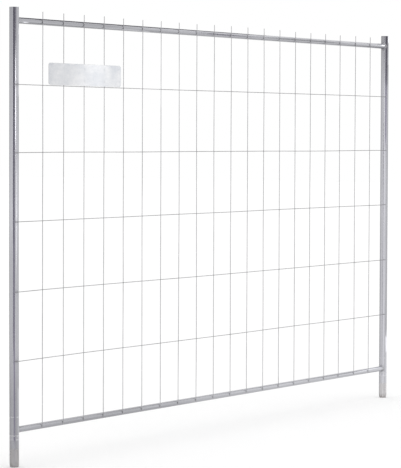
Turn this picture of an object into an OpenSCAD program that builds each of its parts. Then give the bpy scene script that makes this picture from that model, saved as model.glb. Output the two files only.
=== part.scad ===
// Temporary fence panel: a welded frame of two posts and two rails, filled with a
// wire mesh, with a blank name plate fixed on the mesh near its upper left corner.
//
// X runs along the panel, the mesh is on the -Y side and Z is up. The origin is
// midway between the two posts, on the plane of their axes, at the level of the feet.

/* [Panel] */
// Width over the outsides of the two posts
panel_w = 3500; // [1500:10:4500]
// Height of the posts, from the foot to the top
panel_h = 2000; // [1200:10:2600]

/* [Posts] */
// Outside diameter of the posts
post_d = 41.5; // [34:0.1:60]
// Wall of the posts
post_wall = 1.5; // [1:0.1:3]
// Height of the rounded foot end of a post
foot_h = 15; // [5:1:40]
// How much the foot end draws in, measured on the radius
foot_draw = 2; // [0.5:0.1:5]
// Height above the foot of the ring that marks how deep a post stands in its base
ring_z = 135; // [60:1:150]
// Width of the ring
ring_w = 2; // [1:0.1:6]
// Depth of the ring
ring_depth = 0.4; // [0.3:0.05:0.7]
// Chamfer round the open top of a post
rim_chamfer = 0.5; // [0.1:0.1:0.9]

/* [Rails] */
// Outside diameter of the rails
rail_d = 26.9; // [20:0.1:32]
// Wall of the rails
rail_wall = 1.5; // [1:0.1:3]
// Height of the bottom rail's axis above the feet
bottom_rail_z = 162; // [160:1:400]
// Distance from the tops of the posts down to the top rail's axis
top_rail_drop = 57; // [40:1:200]
// Leg of the weld beads that join the rails to the posts
weld_leg = 4; // [2:0.1:6]

/* [Mesh] */
// Diameter of the wires
wire_d = 3; // [2:0.1:6]
// Spacing of the vertical wires
wire_pitch = 160.2; // [100:0.1:250]
// Spacing of the horizontal wires
row_pitch = 301; // [100:1:400]
// Least distance from an outer vertical wire to the nearer post's axis
edge_gap = 150; // [60:1:250]
// Least distance from the top horizontal wire to the top rail's axis
row_gap = 120; // [60:1:300]
// How far the whole mesh sits towards the left post
mesh_shift = 14.6; // [0:0.1:30]
// How far the vertical wires stand up above the top rail
wire_above = 30; // [5:1:38]
// How far the vertical wires reach below the bottom rail's axis
wire_below = 4; // [0:0.5:10]
// How far the horizontal wires run on past the left post's axis
wire_past = 20; // [5:0.5:20]
// Angle round the right post, from its front, at which the horizontal wires end
land_angle = 36; // [20:1:60]
// How deep a welded wire is set into the piece that it crosses
wire_set = 0.4; // [0.1:0.05:0.6]
// Length of the small welds that hold the horizontal wires to the posts
spot_l = 8; // [4:0.5:14]
// Thickness of those welds round the wire
spot_t = 1; // [0.5:0.1:2]

/* [Name plate] */
// Width of the plate
plate_w = 574; // [200:1:700]
// Height of the plate
plate_h = 97.5; // [60:0.5:200]
// Thickness of the plate
plate_t = 1.2; // [0.8:0.1:2]
// Radius of the plate's corners
plate_r = 11; // [2:0.5:25]
// Number of the vertical wire behind the middle of the plate, from the left
plate_wire = 3; // [2:1:6]
// How far the plate's middle is to the right of that wire
plate_shift = 8; // [-40:1:40]
// Gap between the plate's lower edge and the horizontal wire under it
plate_gap = 1.7; // [0.5:0.1:20]
// Diameter of the spot welds behind the plate
plate_spot_d = 6; // [4.5:0.5:12]

/* [Hidden] */
$fn = 64;
through = 1;           // how far a cutter runs past the surface that it cuts
foot_steps = 6;        // steps of the foot end's rounded outline
weld_steps = 3;        // steps of a weld bead's sloping face
knee_gap = 10;         // distance from an outer vertical wire to the bend beside it
wire_fn = 32;

post_r = post_d / 2;
post_bore_r = post_r - post_wall;
post_x = panel_w / 2 - post_r;
rail_r = rail_d / 2;
rail_bore_r = rail_r - rail_wall;
wire_r = wire_d / 2;
top_rail_z = panel_h - top_rail_drop;

// Vertical wires lie against the fronts of the rails, and the horizontal wires
// against the fronts of the vertical ones.
upright_y = -(rail_r + wire_r - wire_set);
row_y = upright_y - (wire_d - wire_set);
// On the left post the horizontal wires lie over the front of the tube.
over_post_y = -(post_r + wire_r - wire_set);

upright_count = floor((2 * post_x - 2 * edge_gap) / wire_pitch) + 1;
row_count = floor((top_rail_z - bottom_rail_z - row_gap) / row_pitch);
upright_z0 = bottom_rail_z - wire_below;
upright_z1 = top_rail_z + rail_r + wire_above;

// How far each horizontal wire sits above its even place, from the lowest up
row_drift = [0, 1, 5, 4, -2];
// How far the last vertical wires sit right of their even places, from the last one back
end_drift = [21, 13];

plate_back_y = upright_y - wire_r;
plate_x = upright_x(plate_wire) + plate_shift;
plate_z0 = row_z(row_count) + wire_r + plate_gap;
plate_wires = [for (i = [1 : upright_count])
    if (abs(upright_x(i) - plate_x) < plate_w / 2 - plate_r) i];
plate_spot_share = 0.28; // height of the spot welds from the plate's middle, as a share

UPRIGHTS = [for (i = [1 : upright_count]) str("vertical_wire_", i < 10 ? "0" : "", i)];
ROWS = [for (k = [1 : row_count]) str("horizontal_wire_", k)];

// Place of vertical wire i, counted from the left
function upright_x(i) = (i - (upright_count + 1) / 2) * wire_pitch - mesh_shift + drift_back(upright_count - i);
// Drift of the wire that is n wires back from the last
function drift_back(n) = n < len(end_drift) ? end_drift[n] : 0;
// Height of horizontal wire k, counted from the lowest
function row_z(k) = bottom_rail_z + k * row_pitch + (k <= len(row_drift) ? row_drift[k - 1] : 0);
// Point at distance d from a towards b
function toward(a, b, d) = a + (b - a) / norm(b - a) * d;
// Point where a horizontal wire meets the right post, at depth d inside its surface
function landing(z, d) = [
    post_x - (post_r - d) * sin(land_angle),
    -(post_r - d) * cos(land_angle),
    z
];

// Bend of a horizontal wire beside the last vertical wire
function right_bend(z) = [upright_x(upright_count) + knee_gap, row_y, z];

// ---- Posts ----

// Outside outline of a post, from the foot up, with its wall's thickness taken off
// when inset is not zero
function foot_outline(inset) = [
    for (s = [0 : foot_steps])
        [post_r - inset - foot_draw * (1 - sin(90 * s / foot_steps)), foot_h * s / foot_steps]
];

module post_shell() {
    rotate_extrude()
        polygon(concat(
            foot_outline(0),
            [[post_r, ring_z - ring_w / 2]],
            [[post_r - ring_depth, ring_z]],
            [[post_r, ring_z + ring_w / 2]],
            [[post_r, panel_h - rim_chamfer]],
            [[post_r - rim_chamfer, panel_h]],
            [[post_bore_r, panel_h]],
            [for (s = [foot_steps : -1 : 0]) foot_outline(post_wall)[s]]
        ));
}

module post_cutter(x, grow = 0) {
    translate([x, 0, -through])
        cylinder(r = post_r + grow, h = panel_h + 2 * through);
}

module left_post() {
    color("silver")
        difference() {
            translate([-post_x, 0, 0])
                post_shell();
            for (k = [1 : row_count])
                wire_over_left_post(row_z(k));
        }
}

module right_post() {
    color("silver")
        translate([post_x, 0, 0])
            post_shell();
}

// ---- Rails ----

module along_x(r, x0, x1, z) {
    translate([x0, 0, z])
        rotate([0, 90, 0])
            cylinder(r = r, h = x1 - x0);
}

module rail(z) {
    difference() {
        along_x(rail_r, -post_x, post_x, z);
        along_x(rail_bore_r, -post_x - through, post_x + through, z);
        post_cutter(-post_x);
        post_cutter(post_x);
        for (i = [1 : upright_count])
            upright(i);
    }
}

module top_rail() {
    color("silver")
        rail(top_rail_z);
}

module bottom_rail() {
    color("silver")
        rail(bottom_rail_z);
}

// A weld bead round the end of a rail. side is -1 at the left post and 1 at the right.
module rail_weld(side, z) {
    step = weld_leg / weld_steps;
    reach = post_r + weld_leg + through;
    difference() {
        for (k = [1 : weld_steps])
            intersection() {
                along_x(
                    rail_r + weld_leg - (k - 1) * step,
                    side < 0 ? -post_x : post_x - reach,
                    side < 0 ? -post_x + reach : post_x,
                    z
                );
                post_cutter(side * post_x, k * step);
            }
        along_x(rail_r, -post_x - through, post_x + through, z);
        post_cutter(side * post_x);
        for (i = [1, upright_count])
            upright(i);
    }
}

module top_left_weld() {
    color("gainsboro")
        rail_weld(-1, top_rail_z);
}

module top_right_weld() {
    color("gainsboro")
        rail_weld(1, top_rail_z);
}

module bottom_left_weld() {
    color("gainsboro")
        rail_weld(-1, bottom_rail_z);
}

module bottom_right_weld() {
    color("gainsboro")
        rail_weld(1, bottom_rail_z);
}

// ---- Mesh ----

module upright(i) {
    translate([upright_x(i), upright_y, upright_z0])
        cylinder(r = wire_r, h = upright_z1 - upright_z0, $fn = wire_fn);
}

module vertical_wire(i) {
    color("darkgray")
        upright(i);
}

// A straight round bar from point a to point b, both at the same height
module level_bar(a, b, r = wire_r) {
    run = b - a;
    translate(a)
        rotate([0, 90, atan2(run[1], run[0])])
            cylinder(r = r, h = norm(run), $fn = wire_fn);
}

// A point seen from above
function plan(p) = [p[0], p[1]];

// Direction, seen from above, of the joint at point s of a path: square to the path at
// its ends, and halving the angle between the two stretches at an inner point
function joint_line(points, s) =
    let (
        last = len(points) - 1,
        before = s == 0 ? points[1] - points[0] : points[s] - points[s - 1],
        after = s == last ? points[last] - points[last - 1] : points[s + 1] - points[s],
        along = before / norm(before) + after / norm(after)
    )
    [-along[1], along[0]] / norm(along);

// A wire that runs straight from point to point, with its stretches mitred at each bend
module bent_wire(points) {
    for (s = [0 : len(points) - 2]) {
        a = points[s];
        b = points[s + 1];
        cut_a = joint_line(points, s) * wire_d;
        cut_b = joint_line(points, s + 1) * wire_d;
        intersection() {
            level_bar(toward(a, b, -wire_d), toward(b, a, -wire_d));
            translate([0, 0, a[2] - wire_d])
                linear_extrude(2 * wire_d)
                    polygon([plan(a) - cut_a, plan(b) - cut_b, plan(b) + cut_b, plan(a) + cut_a]);
        }
    }
}

// The stretch of a horizontal wire that lies over the left post
module wire_over_left_post(z, r = wire_r, x0 = -post_x - wire_past, x1 = -post_x + post_r) {
    level_bar([x0, over_post_y, z], [x1, over_post_y, z], r);
}

module horizontal_wire(k) {
    z = row_z(k);
    color("darkgray")
        difference() {
            bent_wire([
                [-post_x - wire_past, over_post_y, z],
                [-post_x + post_r, over_post_y, z],
                [upright_x(1) - knee_gap, row_y, z],
                right_bend(z),
                landing(z, post_wall)
            ]);
            for (i = [1 : upright_count])
                upright(i);
            post_cutter(post_x);
        }
}

// Small welds where the horizontal wires end on the two posts
module wire_end_welds() {
    color("gainsboro")
        for (k = [1 : row_count]) {
            z = row_z(k);
            end = landing(z, post_wall);
            difference() {
                wire_over_left_post(z, wire_r + spot_t, -post_x - spot_l / 2, -post_x + spot_l / 2);
                wire_over_left_post(z);
                post_cutter(-post_x);
            }
            difference() {
                level_bar(toward(end, right_bend(z), spot_l), end, wire_r + spot_t);
                level_bar(right_bend(z), end);
                post_cutter(post_x);
            }
        }
}

// ---- Name plate ----

module rounded_sheet(w, h, r) {
    square([w - 2 * r, h], center = true);
    square([w, h - 2 * r], center = true);
    for (sx = [-1, 1], sy = [-1, 1])
        translate([sx * (w / 2 - r), sy * (h / 2 - r)])
            circle(r = r);
}

module name_plate() {
    color("whitesmoke")
        translate([plate_x, plate_back_y, plate_z0 + plate_h / 2])
            rotate([90, 0, 0])
                linear_extrude(plate_t)
                    rounded_sheet(plate_w, plate_h, plate_r);
}

// Spot welds between the back of the plate and the vertical wires behind it
module plate_welds() {
    color("gainsboro")
        difference() {
            for (i = plate_wires, side = [-1, 1])
                translate([
                    upright_x(i),
                    plate_back_y,
                    plate_z0 + plate_h / 2 + side * plate_spot_share * plate_h
                ])
                    rotate([-90, 0, 0])
                        cylinder(d = plate_spot_d, h = wire_r);
            for (i = plate_wires)
                upright(i);
        }
}

left_post();
right_post();
top_rail();
bottom_rail();
top_left_weld();
top_right_weld();
bottom_left_weld();
bottom_right_weld();
for (i = [1 : upright_count])
    vertical_wire(i);
for (k = [1 : row_count])
    horizontal_wire(k);
wire_end_welds();
name_plate();
plate_welds();
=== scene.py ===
# Looks of a temporary fence panel: galvanised posts and rails, welded wires, weld beads
# and a blank name plate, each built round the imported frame. Lengths are in metres.
import math

import bpy
import numpy as np
from mathutils import Matrix, Vector


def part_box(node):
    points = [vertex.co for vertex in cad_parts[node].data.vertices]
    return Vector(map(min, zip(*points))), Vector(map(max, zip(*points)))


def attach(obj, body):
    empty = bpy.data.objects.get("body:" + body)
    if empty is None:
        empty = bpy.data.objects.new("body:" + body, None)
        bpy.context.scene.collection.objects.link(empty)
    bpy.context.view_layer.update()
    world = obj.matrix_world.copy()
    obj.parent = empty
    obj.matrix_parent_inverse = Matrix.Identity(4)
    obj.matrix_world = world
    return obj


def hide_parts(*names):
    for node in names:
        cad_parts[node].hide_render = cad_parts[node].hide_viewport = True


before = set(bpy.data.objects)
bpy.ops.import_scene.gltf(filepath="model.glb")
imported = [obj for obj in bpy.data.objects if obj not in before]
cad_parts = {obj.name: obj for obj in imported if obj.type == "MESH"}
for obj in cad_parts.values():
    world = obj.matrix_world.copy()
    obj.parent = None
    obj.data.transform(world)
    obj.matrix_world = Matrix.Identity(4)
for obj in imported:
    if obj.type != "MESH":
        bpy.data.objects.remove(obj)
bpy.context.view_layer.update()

rng = np.random.default_rng(23)
MM = 0.001

# ---- Sizes, worked out from the frame ----


def middle(node):
    """Middle of a node's box."""
    low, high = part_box(node)
    return (low + high) / 2


def height(node):
    """Height of a node's box."""
    low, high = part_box(node)
    return high.z - low.z


VERTICALS = sorted(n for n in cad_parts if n.startswith("vertical_wire_"))
LEVELS = sorted(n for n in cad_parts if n.startswith("horizontal_wire_"))
FRONT = -math.pi / 2  # the way round a post or rail that faces the mesh side, -Y

post_low, post_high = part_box("right_post")
post_r = (post_high.x - post_low.x) / 2
post_x = (post_low.x + post_high.x) / 2
post_top = post_high.z
post_wall = 1.5 * MM
foot_h = 15 * MM
foot_draw = 3 * MM  # how far the cut foot is drawn in
ring_z = 135 * MM  # height of the shallow pressed ring
ring_half = 1 * MM
ring_depth = 0.4 * MM
rim_round = 0.5 * MM
lean = 3.6 * MM  # how far the left post's foot leans inwards
lean_from = 0.9  # height where that lean starts
post_press = 0.36 * MM  # how deep a wire presses into a post
post_sides = 96

rail_r = height("top_rail") / 2
rail_wall = 1.5 * MM
rail_z = {n: middle(n).z for n in ("top_rail", "bottom_rail")}
rail_press = 0.3 * MM  # how deep a wire presses into a rail
rail_sides = 64
weld_leg = 4 * MM

upright_x = np.array([middle(n).x for n in VERTICALS])
upright_y = middle(VERTICALS[0]).y
upright_z0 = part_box(VERTICALS[0])[0].z
upright_z1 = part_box(VERTICALS[0])[1].z
wire_r = height(LEVELS[0]) / 2
wire_set = 0.4 * MM  # how deep crossed wires melt together
level_z = np.array([middle(n).z for n in LEVELS])
level_y = upright_y - 2 * wire_r + wire_set
over_post_y = -(post_r + wire_r - wire_set)
wire_past = 20 * MM  # how far a level wire runs past the left post's axis
knee_gap = 10 * MM  # from an outer upright wire to the bend beside it
land_angle = math.radians(36)  # how far round the right post from its front it ends

plate_low, plate_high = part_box("name_plate")
plate_mid_z = (plate_low.z + plate_high.z) / 2
plate_h = plate_high.z - plate_low.z
plate_corner = 11 * MM
plate_spot_r = 3 * MM
plate_spot_share = 0.28  # share of the plate's height from its middle to a spot weld
plate_rows, plate_cols = 41, 231
plate_wires = [x for x in upright_x if plate_low.x < x < plate_high.x]

# ---- Mesh making ----


def ring_quads(rows, cols, close_rows=False):
    """Quads of a grid whose columns run once round: each joins two neighbouring columns of
    two neighbouring rows, and the last row joins the first when close_rows is set."""
    row = np.arange(rows if close_rows else rows - 1)[:, None]
    col = np.arange(cols)[None, :]
    next_row, next_col = (row + 1) % rows, (col + 1) % cols
    here, above = row * cols, next_row * cols
    return np.stack([here + col, here + next_col, above + next_col, above + col], -1).reshape(-1, 4)


def cap_fan(first, cols, centre, turn):
    """Triangles from one ring of cols points, starting at index first, to a centre point."""
    col = np.arange(cols)
    ring, following = first + col, first + (col + 1) % cols
    order = (ring, following) if turn > 0 else (following, ring)
    return np.stack([*order, np.full(cols, centre)], -1)


def make_piece(name, shells, finish, replaces=(), marks=None, sharp_angle=40):
    """One piece from closed shells, each a pair of points and faces. marks is one value from 0 to 1
    for each point, for the finish to read as its dull or soiled places, and on posts and rails also
    as painted contact shade round the wires."""
    points, faces, base = [], [], 0
    for shell_points, shell_faces in shells:
        points.append(shell_points)
        faces += [face for part in shell_faces for face in (part + base).tolist()]
        base += len(shell_points)
    mesh = bpy.data.meshes.new(name)
    mesh.from_pydata(np.vstack(points).tolist(), [], faces)
    mesh.shade_smooth()
    mesh.set_sharp_from_angle(angle=math.radians(sharp_angle))
    layer = mesh.attributes.new("mark", "FLOAT", "POINT")
    values = np.zeros(base) if marks is None else marks
    layer.data.foreach_set("value", values.astype(np.float32))
    mesh.materials.append(finish)
    piece = bpy.data.objects.new(name, mesh)
    bpy.context.scene.collection.objects.link(piece)
    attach(piece, "root")
    if replaces:
        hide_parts(*replaces)
    return piece


def way_round(around, centre):
    """How far round a circle each direction is from centre, between minus and plus half a turn."""
    return (around[None, :] - centre + math.pi) % (2 * math.pi) - math.pi


def bump_at(value, centre, spread):
    """A smooth hill of height 1 at centre: e to the power of minus the squared distance over
    the squared spread."""
    return np.exp(-(((value - centre) / spread) ** 2))


def wander(length, size, waves=4):
    """A slow random wave along a length: a sum of sines, each with a random phase and with a
    random height that falls with its number. Returns a function of the place."""
    number = np.arange(1, waves + 1)
    heights = rng.normal(0, size, waves) / number
    phases = rng.uniform(0, 2 * math.pi, waves)

    def wave(place):
        angle = 2 * math.pi * np.asarray(place)[..., None] * number / length + phases
        return (heights * np.sin(angle)).sum(-1)

    return wave


def spaced(start, end, step, fine_places=(), fine_reach=0.0, fine_step=1.0):
    """Places from start to end about step apart, with closer ones round each fine place."""
    places = [np.linspace(start, end, max(2, round((end - start) / step) + 1))]
    offsets = np.arange(-fine_reach, fine_reach + fine_step / 2, fine_step)
    places += [place + offsets for place in fine_places]
    places = np.unique(np.round(np.concatenate(places), 7))
    return places[(places >= start) & (places <= end)]


# ---- Posts ----


def post_lean(z, side):
    """How far the left post's foot leans inwards: it grows with the drop below lean_from, to
    the power of one and a half. The right post stands straight."""
    return (side < 0) * lean * np.clip(1 - z / lean_from, 0, 1) ** 1.5


def post_outline(wire_heights):
    """A post's outline as radius and height, from the foot up the outside, over the rim and
    down the bore, with close rows where wires and rails touch it. The third value says which
    of its points are on the outside."""
    foot = np.linspace(0, math.pi / 2, 7)
    foot_in = foot_draw * (1 - np.sin(foot))
    foot_z = foot_h * foot / (math.pi / 2)
    ring = np.array([-ring_half, -ring_half / 2, 0, ring_half / 2, ring_half])
    ring_in = ring_depth * (1 - np.abs(ring) / ring_half)
    touched = [*wire_heights, *rail_z.values()]
    below_rim = post_top - rim_round
    body_z = spaced(foot_h + MM, below_rim, 25 * MM, touched, 28 * MM, 2 * MM)
    body_z = body_z[np.abs(body_z - ring_z) > 2 * ring_half]
    body_z = np.append(body_z[body_z < post_top - 3 * MM], below_rim - np.array([2, 1, 0]) * MM)
    outside_z = np.concatenate([foot_z, body_z, ring_z + ring])
    outside_r = np.concatenate([post_r - foot_in, np.full(len(body_z), post_r), post_r - ring_in])
    order = np.argsort(outside_z)
    rim = np.linspace(0, math.pi, 7)[1:-1]
    rim_r = post_r - post_wall / 2 + (post_wall / 2) * np.cos(rim)
    rim_z = below_rim + rim_round * np.sin(rim)
    bore_r = post_r - post_wall
    bore_z = np.linspace(below_rim, foot_h, 40)
    bore_foot_r = (bore_r - foot_in)[::-1][1:]
    radius = np.concatenate([outside_r[order], rim_r, np.full(40, bore_r), bore_foot_r])
    place_z = np.concatenate([outside_z[order], rim_z, bore_z, foot_z[::-1][1:]])
    return radius, place_z, np.arange(len(radius)) < len(order)


def post_piece(name, x, finish, wire_heights):
    """A hollow post: its outline turned round the post's axis. The outside is pressed in a little
    round each wire, and is dull there and round the rails' ends; the dull marks round each wire
    also paint the shade where the wire lies on the post."""
    radius, place_z, outside = post_outline(wire_heights)
    place_z = place_z[:, None]
    around = np.linspace(0, 2 * math.pi, post_sides, endpoint=False)
    from_front = way_round(around, FRONT)
    from_rails = post_r * way_round(around, 0 if x < 0 else math.pi)
    wire_mark_turn, wire_mark_spread = math.radians(-14), math.radians(42)
    pressed = np.zeros((len(radius), post_sides))
    worn_and_shaded = np.zeros(pressed.shape)
    for z in wire_heights:
        pressed += bump_at(place_z, z, 8 * MM) * bump_at(from_front, 0, math.radians(32))
        # dull weld marks round each wire, which also paint the shade where the wire lies on the
        # post
        worn_and_shaded += bump_at(place_z, z, 11 * MM) * bump_at(from_front, wire_mark_turn, wire_mark_spread)
    for z in rail_z.values():
        worn_and_shaded += 0.8 * bump_at(np.hypot(place_z - z, from_rails), rail_r + 5 * MM, 6 * MM)
    pressed *= outside[:, None]
    reach = radius[:, None] - post_press * pressed
    points_x = x + post_lean(place_z, x) + reach * np.cos(around)
    points = np.stack([points_x, reach * np.sin(around), np.broadcast_to(place_z, reach.shape)], -1)
    return make_piece(
        name,
        [(points.reshape(-1, 3), [ring_quads(len(radius), post_sides, close_rows=True)])],
        finish,
        replaces=(name,),
        marks=np.clip(worn_and_shaded, 0, 1).ravel(),
        sharp_angle=50,
    )


# ---- Rails ----


def saddle_x(height_y):
    """How far from the middle of the panel a post's surface is, at a distance height_y from
    the plane of the posts' axes: the post's place less the half chord of its circle."""
    return post_x - np.sqrt(post_r**2 - height_y**2)


def rail_piece(name, z, wire_places):
    """A hollow rail: a circle carried along X, with both ends cut to the posts' round surfaces, and
    pressed in a little behind each wire, where it is marked dull, partly as painted contact shade."""
    around = np.linspace(0, 2 * math.pi, rail_sides, endpoint=False)
    end = post_x - post_r - 6 * MM
    along = spaced(-end, end, 20 * MM, wire_places, 9 * MM, 1.5 * MM)
    from_front = way_round(around, FRONT)
    pressed = np.zeros((len(along), rail_sides))
    for x in wire_places:
        pressed += bump_at(along[:, None], x, 3.5 * MM) * bump_at(from_front, 0, math.radians(28))
    bore_along = np.linspace(end, -end, 60)[:, None]

    def rows(x, r):
        """Rings of points round the rail's axis, at the places x and with the radii r."""
        x, r = np.broadcast_arrays(x, r)
        return np.stack([x, r * np.cos(around), z + r * np.sin(around)], -1)

    full = np.full((1, rail_sides), rail_r)
    bore = full - rail_wall
    cut, bore_cut = saddle_x(full * np.cos(around)), saddle_x(bore * np.cos(around))
    shift = post_lean(z, -1)  # the left end follows the leaning post
    grid = np.concatenate(
        [
            rows(shift - cut, full),
            rows(along[:, None], rail_r - rail_press * pressed),
            rows(cut, full),
            rows(bore_cut, bore),
            rows(bore_along, bore),
            rows(shift - bore_cut, bore),
        ]
    )
    marks = np.zeros(grid.shape[:2])
    # dull weld marks behind each wire, which also paint the shade where the wire lies on the rail
    marks[1 : 1 + len(along)] = np.clip(1.2 * pressed, 0, 1) * 0.8
    near_post = bump_at(np.abs(grid[..., 0]), post_x - post_r, 14 * MM)
    marks = np.maximum(marks, 0.6 * near_post)
    quads = ring_quads(len(grid), rail_sides, close_rows=True)
    return make_piece(
        name,
        [(grid.reshape(-1, 3), [quads])],
        rail_zinc[name],
        replaces=(name,),
        marks=marks.ravel(),
        sharp_angle=50,
    )


def rail_weld_piece(name, side, z):
    """A weld bead round the end of a rail. Its section is a bulging fillet with one leg along
    the rail and one up the post, carried round the rail, and its size ripples on the way."""
    turns, ripples, face = 192, 30, 7
    around = np.linspace(0, 2 * math.pi, turns, endpoint=False)
    fine = 0.07 * np.sin(ripples * around + 2 * np.sin(3 * around + side))
    leg = weld_leg * (1 + fine + 0.1 * np.sin(2 * around + z)) * 0.92
    sweep = np.linspace(0, math.pi / 2, face)
    bulge = 0.16 * np.sin(2 * sweep)
    out = np.concatenate([np.sin(sweep) * (1 - 0.55 * np.cos(sweep)) + bulge, [-0.1]])
    off = np.concatenate([np.cos(sweep) * (1 - 0.55 * np.sin(sweep)) + bulge, [-0.1]])
    sunk = np.zeros(face + 1)
    sunk[0] = 0.3 * MM
    from_axis = rail_r - sunk[:, None] + out[:, None] * leg
    beside = saddle_x(np.clip(from_axis * np.cos(around), -post_r * 0.98, post_r * 0.98))
    x = side * (beside - off[:, None] * leg) + post_lean(z, side)
    grid = np.stack([x, from_axis * np.cos(around), z + from_axis * np.sin(around)], -1)
    quads = ring_quads(face + 1, turns, close_rows=True)
    if side > 0:
        quads = quads[:, ::-1]
    shell = (grid.reshape(-1, 3), [quads])
    return make_piece(name, [shell], weld_zinc, replaces=(name,))


# ---- Wires ----


def wire_shell(path, radius=wire_r, sides=14):
    """A round wire along a path of points: at each point a ring square to the path, with a
    small chamfer and a flat face at both cut ends."""
    ahead = np.gradient(path, axis=0)
    ahead /= np.linalg.norm(ahead, axis=1)[:, None]
    helper = np.array([0.0, 1.0, 0.0]) if abs(ahead[0, 2]) > 0.5 else np.array([0.0, 0.0, 1.0])
    across = np.cross(helper, ahead)
    across /= np.linalg.norm(across, axis=1)[:, None]
    up = np.cross(ahead, across)
    chamfer = 0.25 * radius
    after_start, before_end = path[:1] + ahead[:1] * chamfer, path[-1:] - ahead[-1:] * chamfer
    centres = np.vstack([path[:1], after_start, path[1:-1], before_end, path[-1:]])
    widths = np.concatenate([[0.75], np.ones(len(path)), [0.75]]) * radius
    pick = np.concatenate([[0, 0], np.arange(1, len(path) - 1), [len(path) - 1] * 2])
    turn = np.linspace(0, 2 * math.pi, sides, endpoint=False)[None, :, None]
    ring = across[pick][:, None] * np.cos(turn) + up[pick][:, None] * np.sin(turn)
    grid = (centres[:, None] + ring * widths[:, None, None]).reshape(-1, 3)
    count = len(centres) * sides
    points = np.vstack([grid, path[:1], path[-1:]])
    caps = [cap_fan(0, sides, count, -1), cap_fan(count - sides, sides, count + 1, 1)]
    return points, [ring_quads(len(centres), sides), *caps]


def wire_piece(name, path, finish):
    """A mesh wire along a path, in place of the frame's wire of the same name."""
    return make_piece(name, [wire_shell(path)], finish, replaces=(name,))


class Upright:
    """One vertical wire: straight but for a slow sideways wave, cut a little unevenly."""

    def __init__(self, name, x):
        self.name, self.x = name, x
        self.sway = wander(2.2, 0.8 * MM)
        self.top = upright_z1 + rng.uniform(-2.5, 2.5) * MM
        self.bottom = upright_z0 + rng.uniform(-1.2, 0) * MM

    def at(self, z):
        """Place of the wire's middle at height z, sideways."""
        return self.x + self.sway(z)

    def piece(self):
        """The wire itself."""
        z = np.linspace(self.bottom, self.top, 72)
        path = np.stack([self.at(z), np.full(72, upright_y), z], -1)
        return wire_piece(self.name, path, wire_zinc)


class Level:
    """One horizontal wire: over the front of the left post, down to the uprights, along
    them, and to the flank of the right post."""

    def __init__(self, name, z):
        self.name, self.z = name, z
        self.sag = wander(3.6, 0.7 * MM)
        land_r = post_r - 0.8 * MM
        self.land = (post_x - land_r * math.sin(land_angle), -land_r * math.cos(land_angle))

    def at(self, x):
        """Height of the wire's middle at the place x, with its ends kept at their height."""
        inside = 1 - (np.abs(x) / post_x) ** 6
        return self.z + self.sag(x) * np.clip(inside, 0, 1)

    def piece(self):
        """The wire itself, with its bends softened and its two ends left straight."""
        over_post = [-post_x - wire_past, -post_x + post_r]
        knees = [upright_x[0] - knee_gap, upright_x[-1] + knee_gap]
        knots_x = [*over_post, *knees, self.land[0]]
        knots_y = [over_post_y, over_post_y, level_y, level_y, self.land[1]]
        x = spaced(knots_x[0], knots_x[-1], 20 * MM, knots_x[1:-1], 6 * MM, 1.5 * MM)
        straight = np.interp(x, knots_x, knots_y)
        shifts = (shift * MM for shift in (-4, -2, 0, 2, 4))
        soft = np.mean([np.interp(x + shift, knots_x, knots_y) for shift in shifts], 0)
        y = np.where((x > knots_x[0] + 5 * MM) & (x < knots_x[-1] - 5 * MM), soft, straight)
        path = np.stack([x, y, self.at(x)], -1)
        return wire_piece(self.name, path, shaded_level_zinc)


def lumps(centres, sizes, rows=6, cols=10, roughness=0.14):
    """Closed lumps of weld metal: spheres of rows by cols points, stretched to three half
    sizes each, with every point moved in or out a little at random."""
    centres, sizes = np.asarray(centres, float), np.asarray(sizes, float)
    lift = np.linspace(-math.pi / 2, math.pi / 2, rows + 2)[1:-1]
    around = np.linspace(0, 2 * math.pi, cols, endpoint=False)
    ball = np.stack(
        [
            np.cos(lift)[:, None] * np.cos(around),
            np.cos(lift)[:, None] * np.sin(around),
            np.broadcast_to(np.sin(lift)[:, None], (rows, cols)),
        ],
        -1,
    ).reshape(-1, 3)
    ball = np.vstack([ball, [[0, 0, -1], [0, 0, 1]]])
    count = rows * cols
    uneven = rng.normal(0, roughness, (len(centres), len(ball), 1))
    uneven = 1 + uneven.clip(-2 * roughness, 2 * roughness)
    points = centres[:, None] + ball[None] * uneven * sizes[:, None]
    quads = ring_quads(rows, cols)
    ends = np.vstack([cap_fan(0, cols, count, -1), cap_fan(count - cols, cols, count + 1, 1)])
    step = np.arange(len(centres))[:, None, None] * len(ball)
    faces = [(quads[None] + step).reshape(-1, 4), (ends[None] + step).reshape(-1, 3)]
    return points.reshape(-1, 3), faces


# ---- Name plate ----


def plate_grid(inset):
    """Places across and up on the plate: rows that shorten near the corners by the corner's
    circle, all kept inset from the plate's outline."""
    half_w = (plate_high.x - plate_low.x) / 2
    tall = plate_h / 2 - inset
    z = tall * np.linspace(-1, 1, plate_rows)
    corner = plate_corner - inset
    past = np.clip(np.abs(z) - (tall - corner), 0, corner)
    reach = half_w - inset - corner + np.sqrt(corner**2 - past**2)
    x = (plate_high.x + plate_low.x) / 2 + reach[:, None] * np.linspace(-1, 1, plate_cols)
    return x, np.broadcast_to((plate_mid_z + z)[:, None], x.shape)


def plate_marks(x, z):
    """Dull places on the plate's faces, over each spot weld behind it."""
    marks = np.zeros(x.shape)
    for wire_x in plate_wires:
        for side in (-1, 1):
            away = np.hypot(x - wire_x, z - plate_mid_z - side * plate_spot_share * plate_h)
            marks += bump_at(away, 0, 2.2 * plate_spot_r)
    return marks


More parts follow.
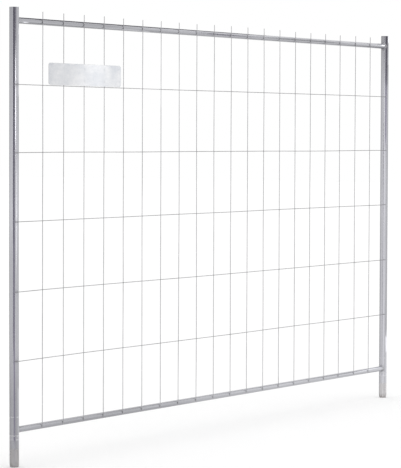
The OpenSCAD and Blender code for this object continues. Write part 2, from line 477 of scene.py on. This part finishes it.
def plate_piece():
    """A thin sheet with round corners: a front and a back grid joined round a rounded edge, gently
    bowed, with shallow marks over the spot welds and one soft darker patch beside the first wire."""
    x, z = plate_grid(0.3 * MM)
    marks = plate_marks(x, z)
    long_wave = 0.35 * MM * np.sin(11 * (x - plate_low.x)) * np.cos(14 * (z - plate_low.z))
    bow = np.abs((long_wave + 0.2 * MM * np.sin(31 * x + 9 * z)) * (1 - marks).clip(0, 1) * 0.6)
    edge_x, edge_z = plate_grid(0)
    front = np.stack([x, plate_low.y + 0.06 * MM * marks - bow, z], -1)
    back = np.stack([x, plate_high.y - bow, z], -1)
    edge = np.stack([edge_x, (plate_low.y + plate_high.y) / 2 - bow, edge_z], -1)

    index = np.arange(x.size).reshape(x.shape)
    loop = np.concatenate([index[0, :-1], index[:-1, -1], index[-1, :0:-1], index[:0:-1, 0]])
    cells = [index[:-1, :-1], index[:-1, 1:], index[1:, 1:], index[1:, :-1]]
    cells = np.stack(cells, -1).reshape(-1, 4)
    count, around = x.size, len(loop)
    points = np.vstack([front.reshape(-1, 3), back.reshape(-1, 3), edge.reshape(-1, 3)[loop]])
    here, following = np.arange(around), (np.arange(around) + 1) % around
    rim = 2 * count
    front_side = np.stack([loop[following], loop[here], rim + here, rim + following], -1)
    back_side = [loop[here] + count, loop[following] + count, rim + following, rim + here]
    faces = [cells, cells[:, ::-1] + count, front_side, np.stack(back_side, -1)]

    # a soft darker patch on the front beside the first wire
    from_dark_patch = np.hypot(x - plate_wires[0] - 12 * MM, 1.4 * (z - plate_mid_z + 14 * MM))
    front_marks = np.clip(marks + 0.3 * bump_at(from_dark_patch, 0, 48 * MM), 0, 1)
    return make_piece(
        "name_plate",
        [(points, faces)],
        plate_zinc,
        replaces=("name_plate",),
        marks=np.concatenate([front_marks.ravel(), marks.ravel(), np.zeros(around)]),
    )


# ---- Finishes ----


def fill_ramp(ramp, stops):
    """Sets a ramp's stops, each a place from 0 to 1 and a grey."""
    while len(ramp.elements) < len(stops):
        ramp.elements.new(0.5)
    for element, (place, grey) in zip(ramp.elements, stops):
        element.position = place
        element.color = (grey, grey, grey, 1)


class Finish:
    """A material whose pattern is worked out from the object's own coordinates, in metres."""

    def __init__(self, name):
        self.material = bpy.data.materials.new(name)
        self.material.use_nodes = True
        self.tree = self.material.node_tree
        self.surface = self.tree.nodes["Principled BSDF"]
        self.place = self.node("ShaderNodeTexCoord").outputs["Object"]

    def node(self, kind, **settings):
        """A new node of a kind, with its settings."""
        made = self.tree.nodes.new(kind)
        for key, value in settings.items():
            setattr(made, key, value)
        return made

    def join(self, source, target):
        """Links one socket to another."""
        self.tree.links.new(source, target)

    def stretched(self, scale):
        """The object's coordinates, multiplied by a scale for each axis."""
        mapping = self.node("ShaderNodeMapping")
        mapping.inputs["Scale"].default_value = scale
        self.join(self.place, mapping.inputs["Vector"])
        return mapping.outputs["Vector"]

    def noise(self, scale, detail=3.0, stretch=(1, 1, 1)):
        """Cloudy noise with features about one over scale metres wide."""
        made = self.node("ShaderNodeTexNoise")
        made.inputs["Scale"].default_value = scale
        made.inputs["Detail"].default_value = detail
        self.join(self.stretched(stretch), made.inputs["Vector"])
        return made.outputs["Fac"]

    def crystals(self, scale, stretch=(1, 1, 1)):
        """One random value for each zinc crystal, one over scale metres wide."""
        made = self.node("ShaderNodeTexVoronoi")
        made.inputs["Scale"].default_value = scale
        self.join(self.stretched(stretch), made.inputs["Vector"])
        split = self.node("ShaderNodeSeparateColor")
        self.join(made.outputs["Color"], split.inputs["Color"])
        return split.outputs["Red"]

    def span(self, value, low, high, to_low=0.0, to_high=1.0):
        """value carried from the range low to high into the range to_low to to_high."""
        made = self.node("ShaderNodeMapRange")
        made.inputs["From Min"].default_value = low
        made.inputs["From Max"].default_value = high
        made.inputs["To Min"].default_value = to_low
        made.inputs["To Max"].default_value = to_high
        self.join(value, made.inputs["Value"])
        return made.outputs["Result"]

    def math(self, operation, first, second):
        """A sum, product or other operation on two sockets or numbers."""
        made = self.node("ShaderNodeMath", operation=operation)
        for socket, value in zip(made.inputs, (first, second)):
            if isinstance(value, (int, float)):
                socket.default_value = value
            else:
                self.join(value, socket)
        return made.outputs["Value"]

    def blend(self, share, first, second):
        """A colour between first and second, by the share."""
        made = self.node("ShaderNodeMix", data_type="RGBA")
        self.join(share, made.inputs["Factor"])
        for socket, value in ((made.inputs["A"], first), (made.inputs["B"], second)):
            if isinstance(value, tuple):
                socket.default_value = (*value, 1.0)
            else:
                self.join(value, socket)
        return made.outputs["Result"]

    def band(self, value, centre, half):
        """1 where value is at centre, falling to 0 at a distance of half."""
        away = self.math("ABSOLUTE", self.math("SUBTRACT", value, centre), 0.0)
        return self.span(away, half, 0.0)

    def shade(self, colour, tone):
        """A colour multiplied by a tone."""
        made = self.node("ShaderNodeVectorMath", operation="SCALE")
        self.join(colour, made.inputs["Vector"])
        self.join(tone, made.inputs["Scale"])
        return made.outputs["Vector"]

    def axis(self, name):
        """One of the object's coordinates."""
        split = self.node("ShaderNodeSeparateXYZ")
        self.join(self.place, split.inputs["Vector"])
        return split.outputs[name]

    def drift(self, value, stops):
        """A tone that drifts along a value from 0 to 1, through a few stops."""
        made = self.node("ShaderNodeValToRGB")
        fill_ramp(made.color_ramp, stops)
        self.join(value, made.inputs["Fac"])
        return made.outputs["Color"]

    def marks(self):
        """The piece's own dull or soiled places, from 0 to 1, and on posts and rails also painted
        contact shade round the wires.
        """
        made = self.node("ShaderNodeAttribute", attribute_name="mark")
        return made.outputs["Fac"]

    def relief(self, value, depth, strength=1.0, under=None):
        """Raises and sinks the surface by value, up to depth metres."""
        made = self.node("ShaderNodeBump")
        made.inputs["Distance"].default_value = depth
        made.inputs["Strength"].default_value = strength
        self.join(value, made.inputs["Height"])
        if under is not None:
            self.join(under, made.inputs["Normal"])
        return made.outputs["Normal"]

    def finish(self, colour, roughness, normal, metallic=1.0):
        """Joins the results to the surface and returns the material."""
        self.surface.inputs["Metallic"].default_value = metallic
        self.join(colour, self.surface.inputs["Base Color"])
        self.join(roughness, self.surface.inputs["Roughness"])
        self.join(normal, self.surface.inputs["Normal"])
        return self.material


def along_axis(along, share):
    """A scale for each axis that draws a pattern out along one of them."""
    return tuple(share if axis == along else 1.0 for axis in "XYZ")


def tube_zinc(name, bright, dull, along, swelling):
    """Hot-dip zinc on a tube: small crystals, soft clouds and drawn lines that follow the tube's
    length, dull where it was welded or rubbed and darker where wires lie on it, partly as painted
    contact shade, and with fine grain in the surface, which swells by up to swelling."""
    finish = Finish(name)
    runs = along_axis(along, 0.08)
    crystals = finish.crystals(260, along_axis(along, 0.5))
    clouds = finish.noise(16, 4.0, runs)
    drawn = finish.noise(230, 2.0, along_axis(along, 0.012))
    tone = finish.span(clouds, 0.3, 0.7, 0.0, 0.45)
    tone = finish.math("ADD", tone, finish.span(crystals, 0, 1, 0.0, 0.15))
    tone = finish.math("ADD", tone, finish.span(drawn, 0.35, 0.65, 0.0, 0.4))
    colour = finish.blend(tone, dull, bright)
    marks = finish.marks()
    worn_and_shaded = tuple(0.85 * value for value in dull)
    # the marks darken the zinc: weld dulling, and painted contact shade where wires lie on the tube
    colour = finish.blend(finish.span(marks, 0, 1, 0, 0.36), colour, worn_and_shaded)
    grain = finish.noise(900, 2.0)
    roughness = finish.span(clouds, 0.3, 0.7, 0.19, 0.12)
    roughness = finish.math("ADD", roughness, finish.span(crystals, 0, 1, -0.03, 0.03))
    roughness = finish.math("ADD", roughness, finish.span(marks, 0, 1, 0, 0.3))
    swell = finish.relief(finish.noise(38, 2.0, runs), swelling, 0.5)
    return finish, colour, roughness, finish.relief(grain, 0.00003, 0.5, swell)


# How much each post's colour is lightened or darkened along it, from its foot (0) to its top (1)
LEFT_POST_TONE = [
    (0.0, 0.8), (0.15, 0.82), (0.27, 1.02), (0.45, 1.06),
    (0.56, 1.28), (0.68, 1.12), (0.85, 1.0), (1.0, 0.85),
]
RIGHT_POST_TONE = [(0.0, 1.2), (0.5, 1.17), (0.68, 1.1), (0.84, 1.02), (0.94, 0.88), (1.0, 0.72)]
# Painted light and shade along each rail, from its left end (0) to its right end (1): painted shade
# towards the left end, painted light towards the right
TOP_RAIL_LIGHT_AND_SHADE = [(0.0, 0.82), (0.05, 0.76), (0.2, 0.76), (0.42, 1.04), (0.75, 0.99), (1.0, 1.03)]
BOTTOM_RAIL_LIGHT_AND_SHADE = [(0.0, 0.92), (0.05, 0.83), (0.25, 0.8), (0.45, 0.98), (1.0, 1.12)]
# How much the name plate's colour is lightened or darkened along it, from its left end (0) to its
# right end (1)
PLATE_TONE = [(0.0, 0.8), (0.35, 0.84), (0.58, 0.99), (0.68, 1.0), (0.85, 0.89), (1.0, 0.87)]
# Height and half width of each pale ring that a clamp or a base block rubs on a post
RUBBED_RINGS = [(0.22, 0.0035), (0.138, 0.0045), (0.121, 0.003)]
# Heights between which a post's bright zinc gives way to the grey of its seated foot
SEAT_TOP, SEAT_FULL = 0.086, 0.076
SOIL_TOP = 0.03


def make_post_zinc(name, tones):
    """The posts' zinc: pale rubbed rings, a streaky grey foot where it sits in a base, and
    soil at the cut end."""
    bright, dull = (0.67, 0.67, 0.712), (0.48, 0.48, 0.512)
    finish, colour, roughness, normal = tube_zinc(name, bright, dull, "Z", 0.0001)
    height = finish.axis("Z")
    drift = finish.drift(finish.span(height, 0, post_top), tones)
    colour = finish.shade(colour, drift)

    ragged = finish.math("ADD", height, finish.span(finish.noise(60), 0, 1, -0.004, 0.004))
    seated = finish.span(ragged, SEAT_TOP, SEAT_FULL)
    streaks = finish.span(finish.noise(260, 3.0, (1, 1, 0.05)), 0.25, 0.75)
    greyed = finish.shade(finish.blend(streaks, (0.46, 0.445, 0.45), (0.74, 0.725, 0.73)), drift)
    colour = finish.blend(finish.span(seated, 0, 1, 0, 0.9), colour, greyed)

    patches = finish.span(finish.noise(90, 4.0), 0.4, 0.6)
    soil = finish.math("MULTIPLY", finish.span(height, SOIL_TOP, 0.0), patches)
    colour = finish.blend(finish.span(soil, 0, 1, 0, 0.7), colour, (0.3, 0.26, 0.24))

    uneven = finish.span(finish.noise(120, 3.0), 0.35, 0.6)
    for centre, half in RUBBED_RINGS:
        rubbed = finish.math("MULTIPLY", finish.band(height, centre, half), uneven)
        colour = finish.blend(finish.span(rubbed, 0, 1, 0, 0.8), colour, (0.8, 0.8, 0.82))
        roughness = finish.math("ADD", roughness, finish.span(rubbed, 0, 1, 0, 0.2))
    roughness = finish.math("ADD", roughness, finish.span(seated, 0, 1, 0, 0.14))
    return finish.finish(colour, roughness, normal)


def make_rail_zinc(name, tones):
    """The rails' zinc: a little darker and more uneven than the posts', with painted shade and
    painted light along the rail from its tones.
    """
    bright, dull = (0.63, 0.635, 0.67), (0.44, 0.44, 0.47)
    finish, colour, roughness, normal = tube_zinc(name, bright, dull, "X", 0.0003)
    along = finish.span(finish.axis("X"), -post_x, post_x)
    # the tones along the rail are painted shade towards its left end and painted light towards its
    # right end
    return finish.finish(finish.shade(colour, finish.drift(along, tones)), roughness, normal)


def make_wire_zinc(name, light):
    """Dull zinc on drawn wire: a grey that drifts slowly and short bright scuffs. The grey is
    multiplied by light, which is lower for the horizontal wires as painted shade."""
    finish = Finish(name)
    drift = finish.span(finish.noise(9, 3.0), 0.3, 0.7)
    dark_grey = tuple(light * value for value in (0.44, 0.436, 0.448))
    light_grey = tuple(light * value for value in (0.61, 0.605, 0.622))
    colour = finish.blend(drift, dark_grey, light_grey)
    scuffs = finish.span(finish.noise(180, 2.0), 0.62, 0.72, 0, 0.6)
    colour = finish.blend(scuffs, colour, (0.8, 0.8, 0.81))
    roughness = finish.span(finish.noise(60, 3.0), 0.3, 0.7, 0.35, 0.55)
    return finish.finish(colour, roughness, finish.relief(finish.noise(700, 2.0), 0.00005))


def make_weld_zinc():
    """Zinc over weld metal: lumpy, uneven in tone and half dull."""
    finish = Finish("weld_zinc")
    tone = finish.span(finish.noise(240, 4.0), 0.3, 0.7)
    colour = finish.blend(tone, (0.4, 0.4, 0.42), (0.7, 0.7, 0.72))
    roughness = finish.span(finish.noise(160, 3.0), 0.3, 0.7, 0.25, 0.55)
    return finish.finish(colour, roughness, finish.relief(finish.noise(420, 3.0), 0.0003, 0.8))


def make_plate_zinc():
    """Pale zinc-coated sheet: broad soft clouds, fine crystals and dull spots over the
    welds behind."""
    finish = Finish("plate_zinc")
    broad = finish.span(finish.noise(11, 3.0), 0.3, 0.7, 0, 0.6)
    small = finish.span(finish.noise(34, 4.0, (0.6, 1, 1.5)), 0.3, 0.7, 0, 0.4)
    clouds = finish.math("ADD", broad, small)
    crystals = finish.span(finish.crystals(210), 0, 1, 0, 0.2)
    tone = finish.math("ADD", finish.span(clouds, 0.1, 0.9, 0, 0.8), crystals)
    colour = finish.blend(tone, (0.765, 0.79, 0.835), (0.955, 0.955, 0.965))
    along = finish.span(finish.axis("X"), plate_low.x, plate_high.x)
    colour = finish.shade(colour, finish.drift(along, PLATE_TONE))
    colour = finish.blend(finish.span(finish.marks(), 0, 1, 0, 0.4), colour, (0.6, 0.61, 0.63))
    roughness = finish.span(clouds, 0, 1, 0.45, 0.32)
    relief = finish.relief(finish.noise(26, 3.0), 0.0005, 0.5)
    relief = finish.relief(finish.noise(600, 2.0), 0.00004, 0.6, relief)
    return finish.finish(colour, roughness, relief)


left_post_zinc = make_post_zinc("left_post_zinc", LEFT_POST_TONE)
right_post_zinc = make_post_zinc("right_post_zinc", RIGHT_POST_TONE)
rail_zinc = {
    "top_rail": make_rail_zinc("top_rail_zinc", TOP_RAIL_LIGHT_AND_SHADE),
    "bottom_rail": make_rail_zinc("bottom_rail_zinc", BOTTOM_RAIL_LIGHT_AND_SHADE),
}
wire_zinc = make_wire_zinc("wire_zinc", 0.96)
# the horizontal wires get a darker copy of the wire zinc: painted shade
shaded_level_zinc = make_wire_zinc("shaded_level_zinc", 0.78)
weld_zinc = make_weld_zinc()
plate_zinc = make_plate_zinc()

# ---- The panel ----

uprights = [Upright(name, x) for name, x in zip(VERTICALS, upright_x)]
levels = [Level(name, z) for name, z in zip(LEVELS, level_z)]

post_piece("left_post", -post_x, left_post_zinc, level_z)
post_piece("right_post", post_x, right_post_zinc, [])
for rail_name, z in rail_z.items():
    rail_piece(rail_name, z, [wire.at(z) for wire in uprights])
    place = rail_name.split("_")[0]
    rail_weld_piece(f"{place}_left_weld", -1, z)
    rail_weld_piece(f"{place}_right_weld", 1, z)
for wire in uprights + levels:
    wire.piece()

# Small flashes of weld metal where wires cross, and where they lie on the rails
between_y = (upright_y + level_y) / 2
crossings = [
    (wire.at(level.z), between_y, level.at(wire.at(level.z)))
    for wire in uprights
    for level in levels
]
on_rails = [(wire.at(z), upright_y + wire_r, z) for wire in uprights for z in rail_z.values()]
crossing_sizes = rng.uniform(0.85, 1.15, (len(crossings), 1)) * np.array([[2.3, 1.2, 2.3]]) * MM
on_rail_sizes = rng.uniform(0.85, 1.15, (len(on_rails), 1)) * np.array([[2.6, 1.0, 3.4]]) * MM
make_piece("crossing_welds", [lumps(crossings, crossing_sizes)], weld_zinc)
make_piece("wire_to_rail_welds", [lumps(on_rails, on_rail_sizes)], weld_zinc)

# Larger beads where the horizontal wires end on the two posts
ends = [(-post_x, over_post_y + 0.9 * MM, level.z) for level in levels]
ends += [(level.land[0] - 1.2 * MM, level.land[1] - 0.4 * MM, level.z) for level in levels]
end_sizes = np.array([[3.8, 2.0, 2.7]] * len(levels) + [[3.6, 2.0, 2.6]] * len(levels)) * MM
end_beads = lumps(ends, end_sizes, 8, 14, 0.1)
make_piece("wire_end_welds", [end_beads], weld_zinc, replaces=("wire_end_welds",))

plate_piece()
spots = [
    (x, plate_high.y + 0.55 * MM, plate_mid_z + side * plate_spot_share * plate_h)
    for x in plate_wires
    for side in (-1, 1)
]
spot_sizes = np.full((len(spots), 3), (2.9, 0.9, 2.9)) * MM
spot_beads = lumps(spots, spot_sizes, 8, 14, 0.08)
make_piece("plate_welds", [spot_beads], weld_zinc, replaces=("plate_welds",))

# ---- Stage ----

FLOOR_REACH = 60.0
MATT_LIGHT = 1.06  # brightness of the surround as it falls on matt things
SEEN_WHITE = 1.0  # and as the camera sees it
# Brightness of the room in reflections, from straight down (0) to straight up (1)
ROOM_BY_HEIGHT = [(0.0, 0.6), (0.3, 0.8), (0.43, 0.9), (0.5, 1.0), (0.7, 1.0), (1.0, 0.95)]
# The same from facing -X (0), by way of -Y (0.25), +X (0.5) and +Y (0.75), back to -X
ROOM_BY_BEARING = [
    (0.0, 0.86), (0.06, 0.92), (0.095, 1.12), (0.13, 0.92), (0.27, 0.8), (0.36, 0.98), (0.53, 1.0),
    (0.58, 0.85), (0.61, 0.34), (0.7, 0.38), (0.78, 0.76), (0.92, 0.78), (1.0, 0.86),
]
LEFT, RIGHT = (-post_x, 0), (post_x, 0)
# name, place it faces, bearing, lift, distance, width, height, brightness
CARDS = [
    ("left_dark", (*LEFT, 1.75), 213, 0, 0.9, 0.82, 1.6, 0.2),
    ("left_dark_top", (*LEFT, 2.2), 251, 0, 0.9, 0.3, 0.68, 0.3),
    ("left_dark_low", (*LEFT, 0.68), 215, 0, 0.9, 0.76, 0.54, 0.3),
    ("left_dark_foot", (*LEFT, 0.2), 221, 0, 0.9, 0.62, 0.42, 0.44),
    ("left_strip", (*LEFT, 1.61), 252, 0, 0.88, 0.17, 0.4, 3.1),
    ("left_strip_low", (*LEFT, 1.06), 278, 0, 0.88, 0.13, 0.46, 1.6),
    ("left_edge", (*LEFT, 0.97), 342, 0, 0.25, 0.34, 1.3, 0.66),
    ("right_dark", (*RIGHT, 2.15), 250, 0, 0.9, 1.0, 0.8, 0.18),
    ("right_dark_far", (*RIGHT, 2.15), 298, 0, 0.8, 0.44, 0.8, 0.5),
    ("right_dark_low", (*RIGHT, 1.58), 250, 0, 0.9, 0.8, 0.34, 0.45),
    ("right_side", (*RIGHT, 0.85), 290, 0, 0.25, 0.13, 1.1, 0.66),
    ("right_edge", (*RIGHT, 1.1), 332, 0, 0.25, 0.22, 1.5, 0.58),
    ("rail_dark", (-1.35, 0, 1.94), 22, 27, 2.0, 1.5, 1.5, 0.1),
    ("rail_left_glint", (-1.68, 0, 1.936), -24, -24, 0.1, 0.022, 0.022, 2.6),
    ("rail_right_glint", (1.685, -0.01, 1.948), -20, 17, 0.12, 0.03, 0.04, 3.4),
    ("low_rail_glint", (1.6, 0, 0.17), -20, 28, 0.25, 0.24, 0.1, 1.35),
    ("plate_bright", (-1.21, 0, 1.72), 324, 2, 0.5, 0.8, 0.3, 1.07),
]
CARD_TINT = (1.0, 0.95, 1.14)
TINTED_BELOW = 0.5  # cards with a brightness under this are tinted
KEY_PLACE, KEY_AIM = (0.5, -3.8, 5.0), (0, 0, 1.2)
KEY_SIZE, KEY_WATTS = 1.2, 14
CAMERA_PLACE = (-10.369, -6.316, 1.442)
CAMERA_HEADING, CAMERA_TILT, CAMERA_ROLL = 58.17, -2.266, 0.206  # in degrees
CAMERA_LENS = 189.24


def flat_sheet(name, half_w, half_h, paint):
    """A flat sheet of one face, facing up, with its middle at the origin."""
    mesh = bpy.data.meshes.new(name)
    ways = ((-1, -1), (1, -1), (1, 1), (-1, 1))
    corners = [(across * half_w, along * half_h, 0) for across, along in ways]
    mesh.from_pydata(corners, [], [(0, 1, 2, 3)])
    mesh.materials.append(paint)
    sheet = bpy.data.objects.new(name, mesh)
    bpy.context.scene.collection.objects.link(sheet)
    return sheet


def pale_floor():
    """A wide, nearly white floor at the level of the feet, with a faint cloudy tone. It
    doesn't show in reflections."""
    finish = Finish("floor_paint")
    colour = finish.blend(finish.noise(0.8, 2.0), (0.955, 0.955, 0.955), (0.975, 0.975, 0.975))
    roughness = finish.span(finish.noise(3.0, 2.0), 0.3, 0.7, 0.75, 0.85)
    relief = finish.relief(finish.noise(40, 2.0), 0.0005)
    finish.surface.inputs["Specular IOR Level"].default_value = 0.0
    paint = finish.finish(colour, roughness, relief, metallic=0.0)
    floor = flat_sheet("floor", FLOOR_REACH, FLOOR_REACH, paint)
    floor.visible_glossy = False


def studio_surround():
    """Soft light from all round: white where the camera looks and on matt things, and in
    reflections a plain room whose grey changes with height and with the way it faces."""
    world = bpy.data.worlds.new("studio")
    bpy.context.scene.world = world
    world.use_nodes = True
    tree = world.node_tree
    tree.nodes.clear()

    def wall(strength):
        """A plain surround of one brightness."""
        made = tree.nodes.new("ShaderNodeBackground")
        made.inputs["Color"].default_value = (1, 1, 1, 1)
        made.inputs["Strength"].default_value = strength
        return made

    def ramp(stops, share):
        """A grey that changes through stops with a share from 0 to 1."""
        made = tree.nodes.new("ShaderNodeValToRGB")
        fill_ramp(made.color_ramp, stops)
        tree.links.new(share, made.inputs["Fac"])
        return made.outputs["Color"]

    def choose(ray, first, second):
        """The first surround, or the second for rays of one kind."""
        made = tree.nodes.new("ShaderNodeMixShader")
        tree.links.new(path.outputs[ray], made.inputs["Fac"])
        tree.links.new(first.outputs[0], made.inputs[1])
        tree.links.new(second.outputs[0], made.inputs[2])
        return made

    def shared(value, low, high):
        """value as a share of the way from low to high."""
        made = tree.nodes.new("ShaderNodeMapRange")
        made.inputs["From Min"].default_value = low
        made.inputs["From Max"].default_value = high
        tree.links.new(value, made.inputs["Value"])
        return made.outputs["Result"]

    place = tree.nodes.new("ShaderNodeTexCoord")
    split = tree.nodes.new("ShaderNodeSeparateXYZ")
    tree.links.new(place.outputs["Generated"], split.inputs["Vector"])
    bearing = tree.nodes.new("ShaderNodeMath")
    bearing.operation = "ARCTAN2"
    tree.links.new(split.outputs["Y"], bearing.inputs[0])
    tree.links.new(split.outputs["X"], bearing.inputs[1])
    both = tree.nodes.new("ShaderNodeMix")
    both.data_type, both.blend_type = "RGBA", "MULTIPLY"
    both.inputs["Factor"].default_value = 1.0
    up_share = shared(split.outputs["Z"], -1, 1)
    round_share = shared(bearing.outputs["Value"], -math.pi, math.pi)
    tree.links.new(ramp(ROOM_BY_HEIGHT, up_share), both.inputs["A"])
    tree.links.new(ramp(ROOM_BY_BEARING, round_share), both.inputs["B"])
    room = wall(1.0)
    tree.links.new(both.outputs["Result"], room.inputs["Color"])
    path = tree.nodes.new("ShaderNodeLightPath")
    seen = choose("Is Camera Ray", wall(MATT_LIGHT), wall(SEEN_WHITE))
    out = tree.nodes.new("ShaderNodeOutputWorld")
    tree.links.new(choose("Is Glossy Ray", seen, room).outputs[0], out.inputs["Surface"])


def reflection_card(name, seen_from, bearing, lift, away, width, tall, brightness):
    """A flat card that only reflections see. It faces a place on the panel, from a bearing
    and a lift in degrees and at a distance, and is a width across and tall. The darker cards
    are tinted."""
    material = bpy.data.materials.new(name + "_paint")
    material.use_nodes = True
    tree = material.node_tree
    tree.nodes.clear()
    glow = tree.nodes.new("ShaderNodeEmission")
    tint = CARD_TINT if brightness < TINTED_BELOW else (1, 1, 1)
    glow.inputs["Color"].default_value = (*tint, 1)
    glow.inputs["Strength"].default_value = brightness
    out = tree.nodes.new("ShaderNodeOutputMaterial")
    tree.links.new(glow.outputs["Emission"], out.inputs["Surface"])

    card = flat_sheet(name, width / 2, tall / 2, material)
    turn, rise = math.radians(bearing), math.radians(lift)
    level = math.cos(rise)
    outward = Vector((math.cos(turn) * level, math.sin(turn) * level, math.sin(rise)))
    card.location = Vector(seen_from) + outward * away
    card.rotation_euler = outward.to_track_quat("-Z", "Y").to_euler()
    card.visible_camera = False
    card.visible_diffuse = False
    card.visible_shadow = False


def key_light():
    """One weak soft light, high in front of the panel's right half."""
    light = bpy.data.lights.new("key", "AREA")
    light.shape = "DISK"
    light.size = KEY_SIZE
    light.energy = KEY_WATTS
    lamp = bpy.data.objects.new("key", light)
    bpy.context.scene.collection.objects.link(lamp)
    aim = Vector(KEY_AIM) - Vector(KEY_PLACE)
    lamp.location = KEY_PLACE
    lamp.visible_diffuse = False
    lamp.rotation_euler = aim.to_track_quat("-Z", "Y").to_euler()


def panel_camera():
    """The camera: standing off the left end of the panel on the mesh side, at about eye
    level, looking slightly down."""
    heading, tilt = math.radians(CAMERA_HEADING), math.radians(CAMERA_TILT)
    roll, level = math.radians(CAMERA_ROLL), math.cos(tilt)
    ahead = Vector((math.sin(heading) * level, math.cos(heading) * level, math.sin(tilt)))
    right = Vector((math.cos(heading), -math.sin(heading), 0))
    up = right.cross(ahead)
    rolled_right = right * math.cos(roll) + up * math.sin(roll)
    rolled_up = up * math.cos(roll) - right * math.sin(roll)
    data = bpy.data.cameras.new("camera")
    data.sensor_width = 36
    data.lens = CAMERA_LENS
    data.clip_end = 200
    camera = bpy.data.objects.new("camera", data)
    bpy.context.scene.collection.objects.link(camera)
    turn = Matrix((rolled_right, rolled_up, -ahead)).transposed()
    camera.matrix_world = Matrix.Translation(CAMERA_PLACE) @ turn.to_4x4()
    bpy.context.scene.camera = camera


pale_floor()
studio_surround()
for card in CARDS:
    reflection_card(*card)
key_light()
panel_camera()
bpy.context.scene.view_settings.view_transform = "Standard"
